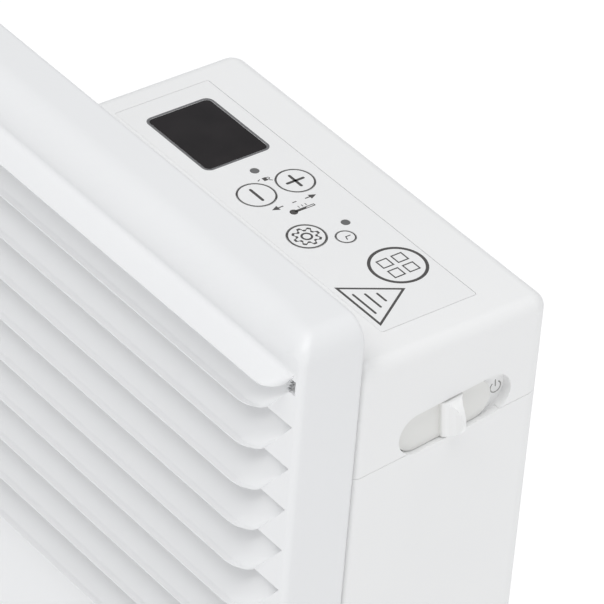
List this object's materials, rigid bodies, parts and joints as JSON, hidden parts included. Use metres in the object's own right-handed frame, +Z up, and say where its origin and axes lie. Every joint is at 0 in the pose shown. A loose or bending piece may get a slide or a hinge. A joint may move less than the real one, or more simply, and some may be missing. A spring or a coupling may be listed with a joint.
{
  "type": "baseboard heater",
  "caption": "Low wall-hung electric convector with a louvred sheet front, a raised control box with keys, display and side slide switch.",
  "frame": {"origin": "centre of the four wall holes of the bracket, in the plane of the wall", "axes": "+Z up, +X along the heater towards the control end, +Y into the wall, so -Y faces the room"},
  "size_m": [0.8581, 0.11, 0.2368],
  "materials": {
    "painted_steel": "satin",
    "galvanised_steel": "satin",
    "bright_steel": "polished",
    "element_aluminium": "satin",
    "ceramic": "matte",
    "white_plastic": "satin",
    "label_film": "satin",
    "display_glass": "glossy",
    "clear_plastic": "glossy",
    "circuit_board": "satin",
    "black_plastic": "matte",
    "component_plastic": "glossy",
    "wire_white": "matte",
    "wire_earth": "matte",
    "rubber_grey": "matte"
  },
  "bodies": {
    "heater": {"front_panel": "painted_steel", "panel_screws": "galvanised_steel", "back_plate": "galvanised_steel", "left_end_plate": "galvanised_steel", "partition_plate": "galvanised_steel", "grommet": "rubber_grey", "heat_shield": "bright_steel", "shield_screws": "galvanised_steel", "heating_element": "element_aluminium", "element_rod": "bright_steel", "element_bushes": "ceramic", "element_holder_left": "galvanised_steel", "element_holder_right": "galvanised_steel", "thermal_cutout": "black_plastic", "control_cap": "white_plastic", "cap_screws": "galvanised_steel", "housing_base": "white_plastic", "cord_bushing": "black_plastic", "cord_clamp": "black_plastic", "clamp_base": "black_plastic", "clamp_screws": "galvanised_steel", "label_foil": "label_film", "display_window": "display_glass", "display_module": "black_plastic", "tact_switches": "black_plastic", "light_pipes": "clear_plastic", "indicator_leds": "clear_plastic", "control_board": "circuit_board", "board_screws": "galvanised_steel", "switch_tray": "white_plastic", "slide_switch_body": "black_plastic", "power_board": "circuit_board", "relay": "black_plastic", "power_capacitors": "component_plastic", "board_terminals": "component_plastic", "board_brackets": "white_plastic", "terminal_block": "white_plastic", "terminal_screws": "galvanised_steel", "room_sensor": "white_plastic", "element_lead_right": "wire_white", "element_lead_left": "wire_white", "earth_lead": "wire_earth", "wall_bracket": "galvanised_steel", "wall_spacers": "rubber_grey"},
    "plus_key": {"key_plus": "label_film"},
    "minus_key": {"key_minus": "label_film"},
    "settings_key": {"key_settings": "label_film"},
    "timer_key": {"key_timer": "label_film"},
    "slider": {"power_slider": "white_plastic"},
    "latch_left": {"bracket_latch_left": "white_plastic"},
    "latch_right": {"bracket_latch_right": "white_plastic"}
  },
  "joints": [
    {"name": "plus_key_press", "type": "slide", "parent": "heater", "child": "plus_key", "axis": [0, 0, -1], "range_m": [0, 0.0005], "stiffness_N_per_m": 900},
    {"name": "minus_key_press", "type": "slide", "parent": "heater", "child": "minus_key", "axis": [0, 0, -1], "range_m": [0, 0.0005], "stiffness_N_per_m": 900},
    {"name": "settings_key_press", "type": "slide", "parent": "heater", "child": "settings_key", "axis": [0, 0, -1], "range_m": [0, 0.0005], "stiffness_N_per_m": 900},
    {"name": "timer_key_press", "type": "slide", "parent": "heater", "child": "timer_key", "axis": [0, 0, -1], "range_m": [0, 0.0005], "stiffness_N_per_m": 900},
    {"name": "power_slide", "type": "slide", "parent": "heater", "child": "slider", "axis": [0, 0.9945, 0.1045], "range_m": [0, 0.006]},
    {"name": "latch_left_lift", "type": "slide", "parent": "heater", "child": "latch_left", "axis": [0, 0, 1], "range_m": [0, 0.006]},
    {"name": "latch_right_lift", "type": "slide", "parent": "heater", "child": "latch_right", "axis": [0, 0, 1], "range_m": [0, 0.006]}
  ]
}
